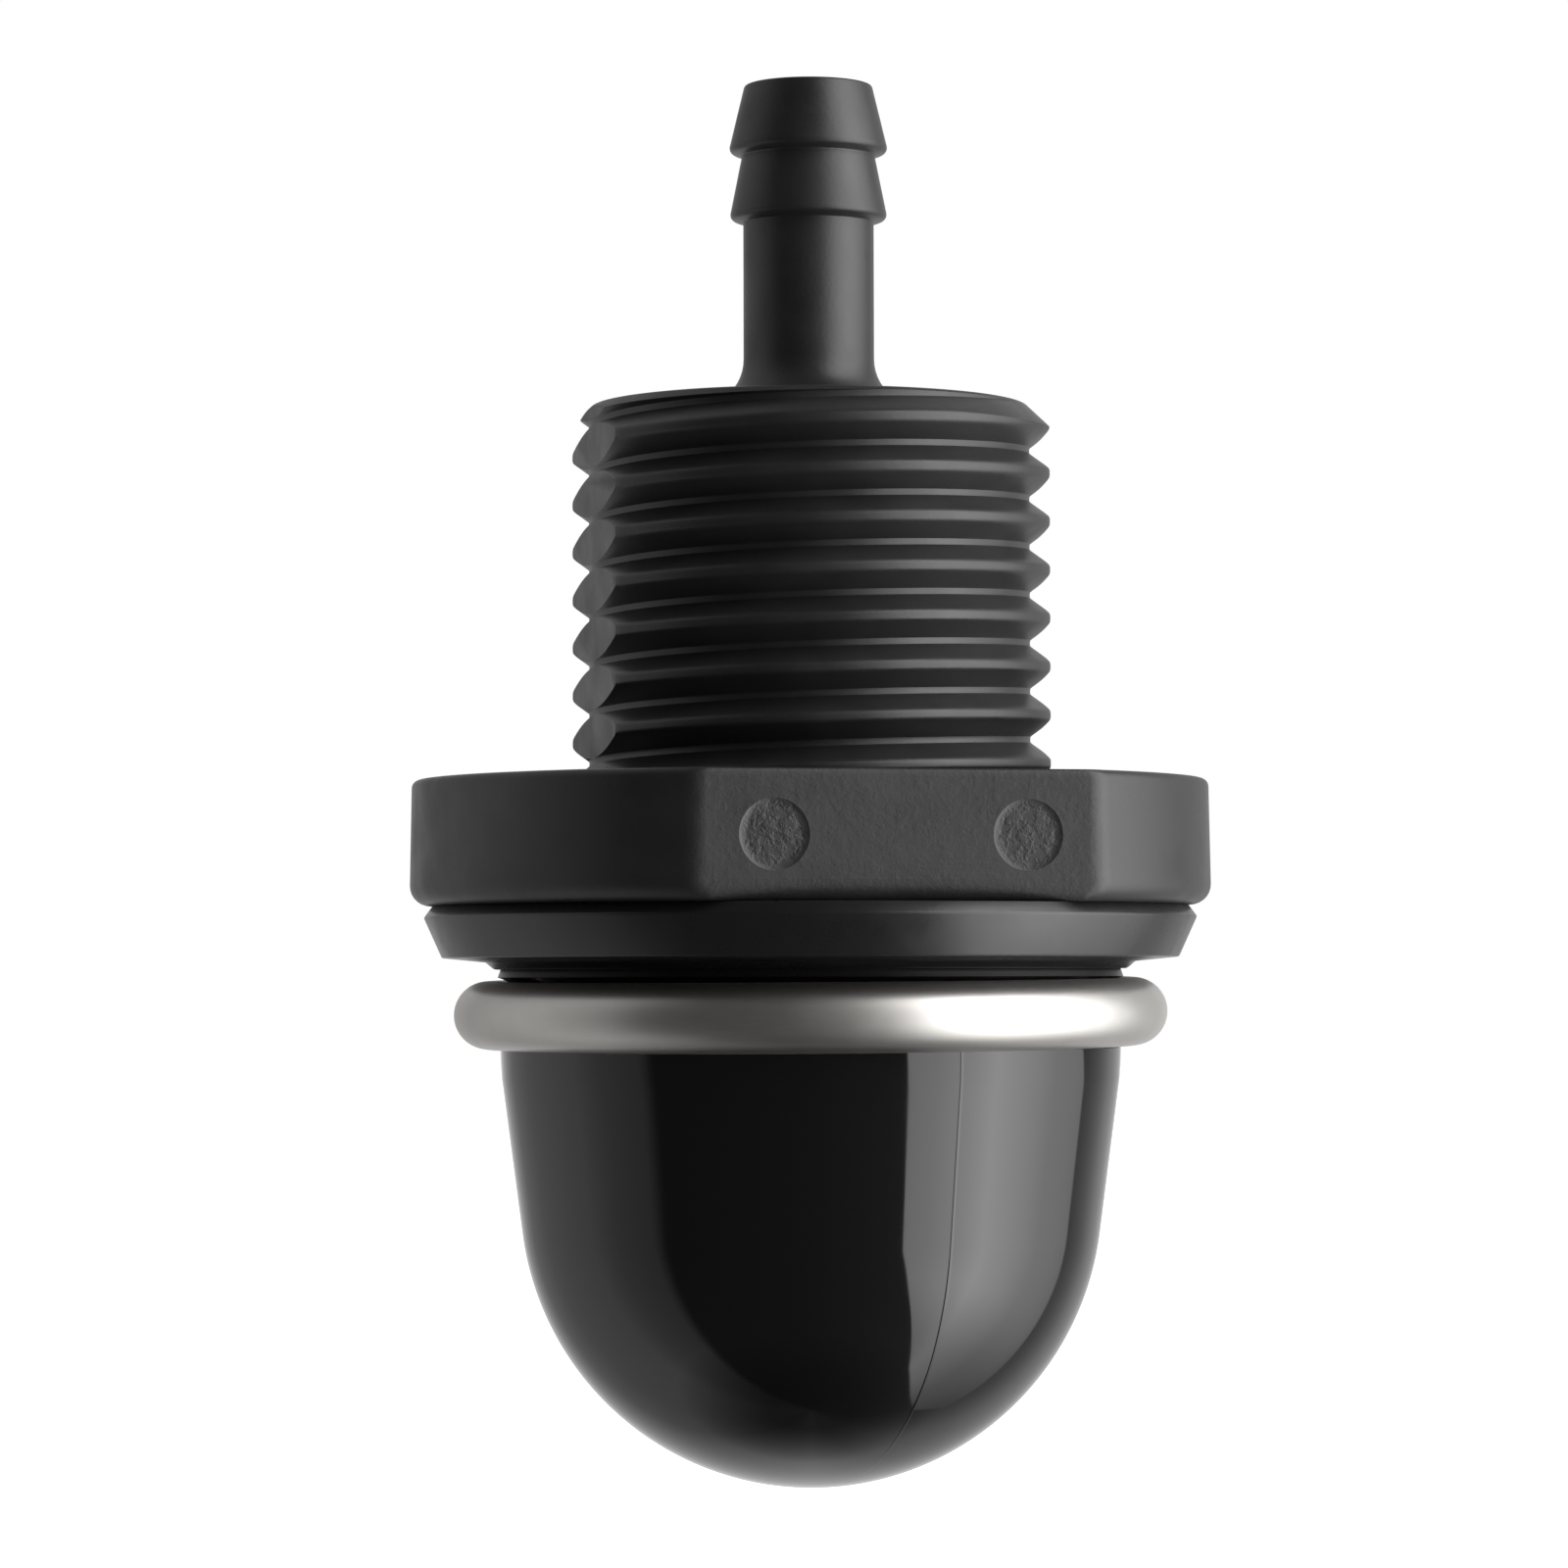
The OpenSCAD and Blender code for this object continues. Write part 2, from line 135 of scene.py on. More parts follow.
def boxPiece(name, low, high):
    x0, y0, z0 = (v * mm for v in low)
    x1, y1, z1 = (v * mm for v in high)
    points = [(x0, y0, z0), (x1, y0, z0), (x1, y1, z0), (x0, y1, z0),
              (x0, y0, z1), (x1, y0, z1), (x1, y1, z1), (x0, y1, z1)]
    faces = [(0, 3, 2, 1), (4, 5, 6, 7), (0, 1, 5, 4), (1, 2, 6, 5), (2, 3, 7, 6), (3, 0, 4, 7)]
    return makePiece(name, points, faces)


def settle(piece):
    # the evaluated shape becomes the piece's plain mesh
    graph = bpy.context.evaluated_depsgraph_get()
    graph.update()
    shown = piece.evaluated_get(graph)
    fresh = bpy.data.meshes.new_from_object(shown, preserve_all_data_layers=True, depsgraph=graph)
    piece.modifiers.clear()
    old = piece.data
    piece.data = fresh
    bpy.data.meshes.remove(old)
    fresh.name = piece.name


def combine(piece, other, operation):
    modifier = piece.modifiers.new(operation.lower(), "BOOLEAN")
    modifier.operation = operation
    modifier.solver = "MANIFOLD"
    modifier.object = other
    settle(piece)
    bpy.data.objects.remove(other)


def smoothPiece(piece, angle):
    piece.data.polygons.foreach_set("use_smooth", [True] * len(piece.data.polygons))
    piece.data.set_sharp_from_angle(angle=math.radians(angle))
    piece.data.update()


# small helpers for node trees

def joinMath(tree, operation, *values):
    node = tree.nodes.new("ShaderNodeMath")
    node.operation = operation
    for i, value in enumerate(values):
        if isinstance(value, (int, float)):
            node.inputs[i].default_value = value
        else:
            tree.links.new(value, node.inputs[i])
    return node.outputs[0]


def startTree(name, sizes):
    tree = bpy.data.node_groups.new(name, "GeometryNodeTree")
    tree.interface.new_socket("Geometry", in_out="OUTPUT", socket_type="NodeSocketGeometry")
    for label, value in sizes.items():
        kind = "NodeSocketInt" if isinstance(value, int) else "NodeSocketFloat"
        if isinstance(value, bpy.types.Material):
            kind = "NodeSocketMaterial"
        tree.interface.new_socket(label, in_out="INPUT", socket_type=kind)
    given = tree.nodes.new("NodeGroupInput")
    result = tree.nodes.new("NodeGroupOutput")
    return tree, given.outputs, result.inputs[0]


def endTree(tree, geometry, material, result):
    real = tree.nodes.new("GeometryNodeRealizeInstances")
    paint = tree.nodes.new("GeometryNodeSetMaterial")
    tree.links.new(geometry, real.inputs["Geometry"])
    tree.links.new(real.outputs["Geometry"], paint.inputs["Geometry"])
    tree.links.new(material, paint.inputs["Material"])
    tree.links.new(paint.outputs["Geometry"], result)


def growPiece(name, tree, sizes):
    piece = makePiece(name, [], [])
    modifier = piece.modifiers.new(tree.name, "NODES")
    modifier.node_group = tree
    for item in tree.interface.items_tree:
        if item.item_type == "SOCKET" and item.in_out == "INPUT":
            modifier[item.identifier] = sizes[item.name]
    settle(piece)
    return piece


# finishes

def startFinish(name, colour, roughness, metallic=0.0):
    material = bpy.data.materials.new(name)
    material.use_nodes = True
    shader = material.node_tree.nodes["Principled BSDF"]
    shader.inputs["Base Color"].default_value = (*colour, 1)
    shader.inputs["Roughness"].default_value = roughness
    shader.inputs["Metallic"].default_value = metallic
    shader.inputs["IOR"].default_value = 1.5
    return material, material.node_tree, shader


def objectPlace(tree):
    return tree.nodes.new("ShaderNodeTexCoord").outputs["Object"]


def noiseAt(tree, place, scale, detail=3.0, rough=0.55):
    noise = tree.nodes.new("ShaderNodeTexNoise")
    noise.inputs["Scale"].default_value = scale
    noise.inputs["Detail"].default_value = detail
    noise.inputs["Roughness"].default_value = rough
    tree.links.new(place, noise.inputs["Vector"])
    return noise.outputs["Fac"]


def remap(tree, value, fromLow, fromHigh, low, high, smooth=False):
    node = tree.nodes.new("ShaderNodeMapRange")
    node.interpolation_type = "SMOOTHSTEP" if smooth else "LINEAR"
    tree.links.new(value, node.inputs["Value"])
    for label, number in (("From Min", fromLow), ("From Max", fromHigh), ("To Min", low), ("To Max", high)):
        node.inputs[label].default_value = number
    return node.outputs["Result"]


def mixColours(tree, factor, first, second):
    ramp = tree.nodes.new("ShaderNodeValToRGB")
    ramp.color_ramp.elements[0].color = (*first, 1)
    ramp.color_ramp.elements[1].color = (*second, 1)
    tree.links.new(factor, ramp.inputs["Fac"])
    return ramp.outputs["Color"]


def addBump(tree, height, strength, distance, below=None):
    bump = tree.nodes.new("ShaderNodeBump")
    bump.inputs["Strength"].default_value = strength
    bump.inputs["Distance"].default_value = distance
    tree.links.new(height, bump.inputs["Height"])
    if below:
        tree.links.new(below, bump.inputs["Normal"])
    return bump.outputs["Normal"]


nylonLook = {
    "dark": (0.0105, 0.0105, 0.0112), "light": (0.0165, 0.0165, 0.0172),
    "smoothest": 0.36, "roughest": 0.48, "grainScale": 5200, "mottleScale": 420, "pitScale": 1900,
}
# the two ejector marks on the front spanner flat, for the pits in the finish and for the cut in the moulding
markSizes = {
    "middles": (-5.04, 5.24), "height": -2.6, "face": -14.3, "radius": 1.35, "depth": 0.06,
    "pitsFrom": 1.5, "pitsFull": 1.1, "pitsInMark": 0.4, "pitsOnFlat": 0.12,
}


def finishNylon():
    material, tree, shader = startFinish("blackNylon", nylonLook["dark"], 0.42)
    place = objectPlace(tree)
    mottle = noiseAt(tree, place, nylonLook["mottleScale"], 4)
    grain = noiseAt(tree, place, nylonLook["grainScale"], 2)
    colour = mixColours(tree, mottle, nylonLook["dark"], nylonLook["light"])
    tree.links.new(colour, shader.inputs["Base Color"])
    tree.links.new(remap(tree, mottle, 0.3, 0.7, nylonLook["smoothest"], nylonLook["roughest"]),
                   shader.inputs["Roughness"])
    fine = addBump(tree, grain, 0.3, 0.02 * mm)
    # the spanner flat is a little uneven, and its two ejector marks are pitted
    split = tree.nodes.new("ShaderNodeSeparateXYZ")
    tree.links.new(place, split.inputs[0])
    s = markSizes
    rough = remap(tree, split.outputs["Y"], -14.0 * mm, -14.2 * mm, 0, s["pitsOnFlat"])
    for middle in s["middles"]:
        apart = tree.nodes.new("ShaderNodeVectorMath")
        apart.operation = "DISTANCE"
        apart.inputs[1].default_value = (middle * mm, s["face"] * mm, s["height"] * mm)
        tree.links.new(place, apart.inputs[0])
        inMark = remap(tree, apart.outputs["Value"], s["pitsFrom"] * mm, s["pitsFull"] * mm,
                       0, s["pitsInMark"], True)
        rough = joinMath(tree, "ADD", rough, inMark)
    pits = noiseAt(tree, place, nylonLook["pitScale"], 3, 0.7)
    pitted = joinMath(tree, "MULTIPLY", remap(tree, pits, 0.42, 0.62, 0, 1, True), rough)
    tree.links.new(addBump(tree, pitted, 1.0, 0.025 * mm, fine), shader.inputs["Normal"])
    return material


def finishRubber():
    material, tree, shader = startFinish("glossyRubber", (0.006, 0.006, 0.0065), 0.06)
    place = objectPlace(tree)
    haze = noiseAt(tree, place, 260, 3)
    tree.links.new(remap(tree, haze, 0.3, 0.7, 0.045, 0.075), shader.inputs["Roughness"])
    swell = noiseAt(tree, place, 90, 1)
    tree.links.new(addBump(tree, swell, 0.12, 0.05 * mm), shader.inputs["Normal"])
    return material


def finishCollar():
    material, tree, shader = startFinish("satinRubber", (0.010, 0.010, 0.0105), 0.3)
    place = objectPlace(tree)
    haze = noiseAt(tree, place, 700, 3)
    tree.links.new(remap(tree, haze, 0.3, 0.7, 0.26, 0.34), shader.inputs["Roughness"])
    tree.links.new(addBump(tree, noiseAt(tree, place, 3000, 2), 0.12, 0.01 * mm), shader.inputs["Normal"])
    return material


def finishRing():
    material, tree, shader = startFinish("satinSteel", (0.50, 0.485, 0.465), 0.39, metallic=1.0)
    uv = tree.nodes.new("ShaderNodeUVMap")
    uv.uv_map = "UVMap"
    mapping = tree.nodes.new("ShaderNodeMapping")
    mapping.inputs["Scale"].default_value = (26, 60, 1)
    tree.links.new(uv.outputs["UV"], mapping.inputs["Vector"])
    brushed = noiseAt(tree, mapping.outputs["Vector"], 3, 4, 0.6)
    cloud = noiseAt(tree, objectPlace(tree), 350, 2)
    colour = mixColours(tree, cloud, (0.44, 0.425, 0.405), (0.56, 0.545, 0.525))
    tree.links.new(colour, shader.inputs["Base Color"])
    tree.links.new(remap(tree, brushed, 0.25, 0.75, 0.35, 0.42), shader.inputs["Roughness"])
    tree.links.new(addBump(tree, brushed, 0.03, 0.01 * mm), shader.inputs["Normal"])
    return material


def finishPlain(name, first, second, low, high, scale, metallic=0.0, grain=0.1):
    material, tree, shader = startFinish(name, first, low, metallic)
    place = objectPlace(tree)
    cloud = noiseAt(tree, place, scale, 3)
    tree.links.new(mixColours(tree, cloud, first, second), shader.inputs["Base Color"])
    tree.links.new(remap(tree, cloud, 0.3, 0.7, low, high), shader.inputs["Roughness"])
    fine = noiseAt(tree, place, scale * 8, 2)
    tree.links.new(addBump(tree, fine, grain, 0.01 * mm), shader.inputs["Normal"])
    return material


blackNylon = finishNylon()
glossyRubber = finishRubber()
satinRubber = finishCollar()
satinSteel = finishRing()
acetal = finishPlain("naturalAcetal", (0.70, 0.68, 0.60), (0.80, 0.78, 0.70), 0.3, 0.42, 400)
nitrile = finishPlain("nitrileRubber", (0.014, 0.014, 0.015), (0.022, 0.022, 0.024), 0.45, 0.6, 900)
springWire = finishPlain("springWire", (0.46, 0.46, 0.47), (0.56, 0.56, 0.57), 0.2, 0.32, 1200, 1.0)
ballSteel = finishPlain("polishedSteel", (0.58, 0.58, 0.60), (0.66, 0.66, 0.68), 0.05, 0.1, 500, 1.0, 0.02)
turnedBrass = finishPlain("turnedBrass", (0.68, 0.47, 0.20), (0.76, 0.56, 0.28), 0.22, 0.36, 800, 1.0)
print("finishes made")


# threaded shank

threadSizes = {
    "crest radius": 10.12 * mm, "depth": 0.96 * mm, "pitch": 2.0 * mm, "turns": 11, "steps per turn": 120,
    "profile steps": 32, "first crest height": -3.25 * mm, "overshoot": 0.257, "undershoot": 0.17,
    "crest rounding": 0.22, "root rounding": 0.08, "finish": blackNylon,
}


def threadTree():
    # a grid wound round the axis: along X it climbs the helix, along Y it crosses one pitch
    tree, given, result = startTree("threadSkin", threadSizes)
    grid = tree.nodes.new("GeometryNodeMeshGrid")
    grid.inputs["Size X"].default_value = 1
    grid.inputs["Size Y"].default_value = 1
    count = joinMath(tree, "MULTIPLY", given["turns"], given["steps per turn"])
    tree.links.new(joinMath(tree, "ADD", count, 1), grid.inputs["Vertices X"])
    tree.links.new(joinMath(tree, "ADD", given["profile steps"], 1), grid.inputs["Vertices Y"])
    place = tree.nodes.new("GeometryNodeInputPosition")
    split = tree.nodes.new("ShaderNodeSeparateXYZ")
    tree.links.new(place.outputs[0], split.inputs[0])
    turned = joinMath(tree, "MULTIPLY", joinMath(tree, "ADD", split.outputs["X"], 0.5), given["turns"])
    across = split.outputs["Y"]
    fall = joinMath(tree, "MULTIPLY", joinMath(tree, "ABSOLUTE", across), 2)
    span = joinMath(tree, "ADD", joinMath(tree, "ADD", given["overshoot"], given["undershoot"]), 1)
    slope = joinMath(tree, "SUBTRACT", joinMath(tree, "ADD", given["overshoot"], 1),
                     joinMath(tree, "MULTIPLY", fall, span))
    lifted = joinMath(tree, "SMOOTH_MAX", slope, 0, given["root rounding"])
    height = joinMath(tree, "SMOOTH_MIN", lifted, 1, given["crest rounding"])
    root = joinMath(tree, "SUBTRACT", given["crest radius"], given["depth"])
    reach = joinMath(tree, "ADD", root, joinMath(tree, "MULTIPLY", height, given["depth"]))
    angle = joinMath(tree, "MULTIPLY", turned, 2 * math.pi)
    climb = joinMath(tree, "MULTIPLY", joinMath(tree, "ADD", turned, across), given["pitch"])
    spot = tree.nodes.new("ShaderNodeCombineXYZ")
    tree.links.new(joinMath(tree, "MULTIPLY", reach, joinMath(tree, "COSINE", angle)), spot.inputs["X"])
    tree.links.new(joinMath(tree, "MULTIPLY", reach, joinMath(tree, "SINE", angle)), spot.inputs["Y"])
    tree.links.new(joinMath(tree, "ADD", climb, given["first crest height"]), spot.inputs["Z"])
    move = tree.nodes.new("GeometryNodeSetPosition")
    tree.links.new(grid.outputs["Mesh"], move.inputs["Geometry"])
    tree.links.new(spot.outputs[0], move.inputs["Position"])
    weld = tree.nodes.new("GeometryNodeMergeByDistance")
    weld.inputs["Distance"].default_value = 0.01 * mm
    tree.links.new(move.outputs["Geometry"], weld.inputs["Geometry"])
    endTree(tree, weld.outputs["Geometry"], given["finish"], result)
    return tree


shankSizes = {
    "top": 15.56, "topRadius": 9.03, "topRounding": 0.25, "chamferSlope": 1.06, "halfFlats": 9.17,
    "below": -1.0, "outside": 11.0, "endReach": 3.5,
}


def capEnds(piece):
    # closes the open helical ends with a fan to the axis
    reach = shankSizes["endReach"] * mm
    work = bmesh.new()
    work.from_mesh(piece.data)
    rims = [edge for edge in work.edges if edge.is_boundary]
    for outermost in (min, max):
        end = outermost(edge.verts[0].co.z for edge in rims)
        own = [edge for edge in rims if abs(edge.verts[0].co.z - end) < reach]
        level = sum(edge.verts[0].co.z for edge in own) / len(own)
        hub = work.verts.new((0, 0, level))
        for edge in own:
            work.faces.new((edge.verts[0], edge.verts[1], hub))
    bmesh.ops.recalc_face_normals(work, faces=work.faces)
    work.to_mesh(piece.data)
    work.free()


def makeShank():
    shank = growPiece("shank", threadTree(), threadSizes)
    capEnds(shank)
    s = shankSizes
    chamferLow = s["top"] - (s["outside"] - s["topRadius"]) / s["chamferSlope"]
    limit = turnProfile("shankLimit", roundCorners([
        (0, s["below"]), (s["outside"], s["below"]), (s["outside"], chamferLow),
        (s["topRadius"], s["top"], s["topRounding"]), (0, s["top"])]), evenAngles(240))
    combine(shank, limit, "INTERSECT")
    flats = boxPiece("flatsLimit", (-s["halfFlats"], -15, -5), (s["halfFlats"], 15, 20))
    combine(shank, flats, "INTERSECT")
    return shank


stemSizes = {
    "radius": 2.72, "upperBarb": 3.33, "lowerBarb": 3.295, "undercut": 2.77, "tip": 2.66, "top": 29.0,
    "upperBarbZ": 26.22, "lowerBarbZ": 23.42, "back": 0.18, "lip": 0.25, "backFillet": 0.08,
    "tipFillet": 0.14, "flare": 2.0, "foot": 15.56, "buried": 14.2,
}


def makeStem():
    s = stemSizes
    corners = [(0, s["buried"]), (s["radius"] + s["flare"], s["buried"])]
    corners += arcPoints(s["radius"] + s["flare"], s["foot"] + s["flare"], s["flare"], 270, 180, 12)
    for below, edge, z in ((s["radius"], s["lowerBarb"], s["lowerBarbZ"]),
                           (s["undercut"], s["upperBarb"], s["upperBarbZ"])):
        corners += [(below, z - s["back"], s["backFillet"]), (edge, z, s["lip"])]
    corners += [(s["tip"], s["top"], s["tipFillet"]), (0, s["top"])]
    return turnProfile("stem", roundCorners(corners), evenAngles(144))


flangeSizes = {
    "topRadius": 16.51, "draft": 0.1, "thickness": 5.2, "halfFlats": 14.35, "corner": 1.6,
    "topEdge": 0.32, "lowEdge": 0.85, "flatSaving": 0.55,
    "cornerAngle": 58.3, "cornerSweep": 4.0, "cornerSteps": 12,
    "edgeMargin": 0.15, "edgeSteps": 7, "reliefRadius": 10.7, "reliefDepth": 0.4,
}


def cornerCentre(outer):
    s = flangeSizes
    y = s["halfFlats"] - s["corner"]
    return math.sqrt((outer - s["corner"]) ** 2 - y ** 2), y


def fromFlatAxis(a):
    return math.atan2(abs(math.sin(a)), abs(math.cos(a)))


def flangeReach(a, outer, inset):
    # distance from the axis to the flange's outline, moved inwards by inset
    s = flangeSizes
    t = fromFlatAxis(a)
    cornerX, cornerY = cornerCentre(outer)
    rounding = s["corner"] - inset
    if t <= math.atan2(cornerY, cornerX):
        return outer - inset
    if t >= math.atan2(s["halfFlats"] - inset, cornerX):
        return (s["halfFlats"] - inset) / math.sin(t)
    along = cornerX * math.cos(t) + cornerY * math.sin(t)
    return along + math.sqrt(along ** 2 - cornerX ** 2 - cornerY ** 2 + rounding ** 2)


def edgeShare(a):
    # the edges are rounded less along the flats
    s = flangeSizes
    cornerX, cornerY = cornerCentre(s["topRadius"])
    start, end = math.atan2(cornerY, cornerX), math.atan2(s["halfFlats"], cornerX)
    return 1 - s["flatSaving"] * max(0, min(1, (fromFlatAxis(a) - start) / (end - start)))


def cutMarks(flange):
    s = markSizes
    r = s["radius"]
    face = -flangeSizes["halfFlats"] + s["depth"]
    for middle in s["middles"]:
        mark = turnProfile("mark", [(0, 0), (r - 0.25, 0), (r - 0.12, 0.01), (r, 0.035), (r + 0.1, 0.07),
                                    (r + 0.15, 1.5), (0, 1.5)], evenAngles(64))
        for vertex in mark.data.vertices:
            x, y, z = vertex.co
            vertex.co = (x + middle * mm, face * mm - z, y + s["height"] * mm)
        combine(flange, mark, "DIFFERENCE")


def makeFlange():
    s = flangeSizes
    extra = []
    for quarter in range(4):
        for k in range(s["cornerSteps"] + 1):
            bend = math.radians(s["cornerAngle"] + s["cornerSweep"] * k / s["cornerSteps"])
            extra.append((quarter // 2) * math.pi + (bend if quarter % 2 else math.pi - bend))
    angles = evenAngles(240, extra)
    low, high, steps, margin, inside = -s["thickness"], 0.0, s["edgeSteps"], s["edgeMargin"], 4.0
    turns = [math.pi / 2 * k / steps for k in range(steps + 1)]
    e = s["lowEdge"]
    rows = [(low, inside), (low, e + margin)]
    rows += [(low + e - e * math.cos(turn), e - e * math.sin(turn)) for turn in turns]
    rows.append((low + e + margin, 0))
    e = s["topEdge"]
    rows.append((high - e - margin, 0))
    rows += [(high - e + e * math.sin(turn), e - e * math.cos(turn)) for turn in turns]
    rows += [(high, e + margin), (high, inside)]
    rings = [[(0, 0, low)]]
    for z, inset in rows:
        outer = s["topRadius"] - s["draft"] * z / s["thickness"]
        ring = []
        for a in angles:
            # deep inside the faces the rows keep the outline's shape, scaled down
            reach = flangeReach(a, outer, edgeShare(a) * min(inset, 1.0)) * (0.75 if inset == inside else 1)
            ring.append((reach * math.cos(a), reach * math.sin(a), z))
        rings.append(ring)
    rings.append([(0, 0, high)])
    flange = skinRows("flange", rings, None)
    relief = turnProfile("relief", [(0, -s["reliefDepth"]), (s["reliefRadius"], -s["reliefDepth"]),
                                    (s["reliefRadius"], 0.5), (0, 0.5)], evenAngles(144))
    combine(flange, relief, "DIFFERENCE")
    cutMarks(flange)
    return flange


insideSizes = {
    "spigotRadius": 11.0, "spigotEnd": -12.5, "grooveZ": -9.64, "grooveHalf": 0.95, "grooveDepth": 0.8,
    "passage": 1.4, "noseBore": 3.5, "noseTop": 11.5, "pocket": 7.0, "pocketTop": 9.0,
    "snapTop": -3.0, "snapLow": -3.93, "snapRadius": 7.5, "ventRadius": 0.8, "ventY": 5.6, "ventFoot": 8,
    "ventEdge": 0.2, "mouthEdge": 0.3, "mouthZ": 28.75,
    "spigotTop": -4.2, "spigotEdge": 0.5, "grooveSlope": 0.6,
}


def makeSpigot():
    i = insideSizes
    r, edge, bend = i["spigotRadius"], i["spigotEdge"], i["grooveSlope"]
    low, high = i["grooveZ"] - i["grooveHalf"], i["grooveZ"] + i["grooveHalf"]
    bottom = r - i["grooveDepth"]
    return turnProfile("spigot", [(0, i["spigotEnd"]), (r - edge, i["spigotEnd"]), (r, i["spigotEnd"] + edge),
                                  (r, low), (bottom, low + bend), (bottom, high - bend), (r, high),
                                  (r, i["spigotTop"]), (0, i["spigotTop"])], evenAngles(144))


def makeHollow():
    # the pocket, the snap ring's groove, the nose's bore and the passage to the tip
    i = insideSizes
    start, wide = i["spigotEnd"] - 1, i["passage"] + i["mouthEdge"]
    return turnProfile("hollow", [(0, start), (i["pocket"], start), (i["pocket"], i["snapLow"]),
                                  (i["snapRadius"], i["snapLow"]), (i["snapRadius"], i["snapTop"]),
                                  (i["pocket"], i["snapTop"]), (i["pocket"], i["pocketTop"]),
                                  (i["noseBore"], i["pocketTop"]), (i["noseBore"], i["noseTop"]),
                                  (i["passage"], i["noseTop"]), (i["passage"], i["mouthZ"]), (wide, 29.1),
                                  (wide, 30), (0, 30)], evenAngles(96))


def makeVent():
    i = insideSizes
    r, foot, rim = i["ventRadius"], i["ventFoot"], shankSizes["top"]
    wide = r + i["ventEdge"]
    vent = turnProfile("vent", [(0, foot), (r, foot), (r, rim - i["ventEdge"]), (wide, rim),
                                (wide, 17), (0, 17)], evenAngles(36))
    for vertex in vent.data.vertices:
        vertex.co.y += i["ventY"] * mm
    return vent


def makeFitting():
    body = makeShank()
    combine(body, makeStem(), "UNION")
    combine(body, makeFlange(), "UNION")
    combine(body, makeSpigot(), "UNION")
    combine(body, makeHollow(), "DIFFERENCE")
    combine(body, makeVent(), "DIFFERENCE")
    body.name = body.data.name = "fitting"
    body.data.materials.clear()
    body.data.materials.append(blackNylon)
    smoothPiece(body, 30)
    # the spanner flats stay plane
    for polygon in body.data.polygons:
        if abs(polygon.normal.y) > 0.9999:
            polygon.use_smooth = False
    return body


fitting = makeFitting()
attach(fitting, "fitting")
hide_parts("fitting_body")
print("fitting made:", len(fitting.data.polygons), "faces")


# rubber bulb: collar above the ring, dome below it

bulbSizes = {
    "top": -5.2, "lipTop": 15.66, "lip": 16.02, "lipShoulder": -5.68, "lipLow": 15.27, "lipLowZ": -7.35,
    "neck": 12.97, "neckZ": -7.95, "ringR": 13.37, "ringZ": -9.64, "groove": 1.54, "dome": 12.85,
    "sideStart": -12.32, "sideDrop": 0.05, "sideSteps": 24, "slope": 7.5, "endR": 12.054, "endZ": -17.196,
    "endSteps": 70, "wall": 1.9, "cuff": 11.12, "cuffZ": -12.7, "shoulder": 10.7, "shoulderZ": -13.2,
    "split": -9.64,
    "partingAngle": -76.5, "ridge": 0.012, "ridgeWidth": 0.2, "ridgeTop": -10.5, "ridgeEnd": -29.1,
}


def makeCollar(material):
    s = bulbSizes
    upper = [(s["cuff"], s["top"]), (s["lipTop"], s["top"], 0.1), (s["lip"], s["lipShoulder"], 0.12),
             (s["lipLow"], s["lipLowZ"], 0.12), (s["neck"] + 0.5, s["neckZ"] + 0.42, 0.1),
             (s["neck"], s["neckZ"], 0.25)]
    # the groove runs round the back of the wire
    side = math.degrees(math.asin((s["ringR"] - s["neck"]) / s["groove"]))
    groove = arcPoints(s["ringR"], s["ringZ"], s["groove"], 90 + side, 180, 10)
    profile = roundCorners(upper, 4) + groove + [(s["cuff"], s["split"])]
    profile.reverse()
    return turnProfile("bulb_collar", profile, evenAngles(300), material, closed=True)


def domeOuter():
    # from the groove down the straight side and round to the tip
    s = bulbSizes
    lowSide = math.degrees(math.asin((s["ringR"] - s["dome"]) / s["groove"]))
    outer = arcPoints(s["ringR"], s["ringZ"], s["groove"], 180, 270 - lowSide, 10)
    outer += [(s["dome"], s["ringZ"] - 1.6), (s["dome"] - 0.015, s["ringZ"] - 2.0)]
    slope = math.radians(s["slope"])
    startR, startZ = s["dome"] - s["sideDrop"], s["sideStart"]
    tangentR, tangentZ = s["endR"] * math.cos(slope), s["endZ"] - s["endR"] * math.sin(slope)
    outer.append((startR, startZ))
    for k in range(1, s["sideSteps"]):
        t = k / s["sideSteps"]
        outer.append((startR + (tangentR - startR) * t, startZ + (tangentZ - startZ) * t))
    outer += arcPoints(0, s["endZ"], s["endR"], -s["slope"], -89.2, s["endSteps"])
    outer.append((0, s["endZ"] - s["endR"]))
    return outer


def domeInner():
    # from the tip up the inside of the wall to the cuff
    s = bulbSizes
    innerR = s["endR"] - s["wall"]
    inner = [(0, s["endZ"] - innerR)]
    inner += arcPoints(0, s["endZ"], innerR, -88, -s["slope"], 24)
    return inner + [(s["shoulder"], s["shoulderZ"]), (s["cuff"], s["cuffZ"]), (s["cuff"], s["split"])]


def ridgeAt(a, z):
    # a faint ridge where the mould's halves met
    s = bulbSizes
    if z > s["ridgeTop"] or z < s["ridgeEnd"]:
        return 0
    off = abs((a - math.radians(s["partingAngle"]) + math.pi / 2) % math.pi - math.pi / 2)
    return s["ridge"] * math.exp(-(math.degrees(off) / s["ridgeWidth"]) ** 2)


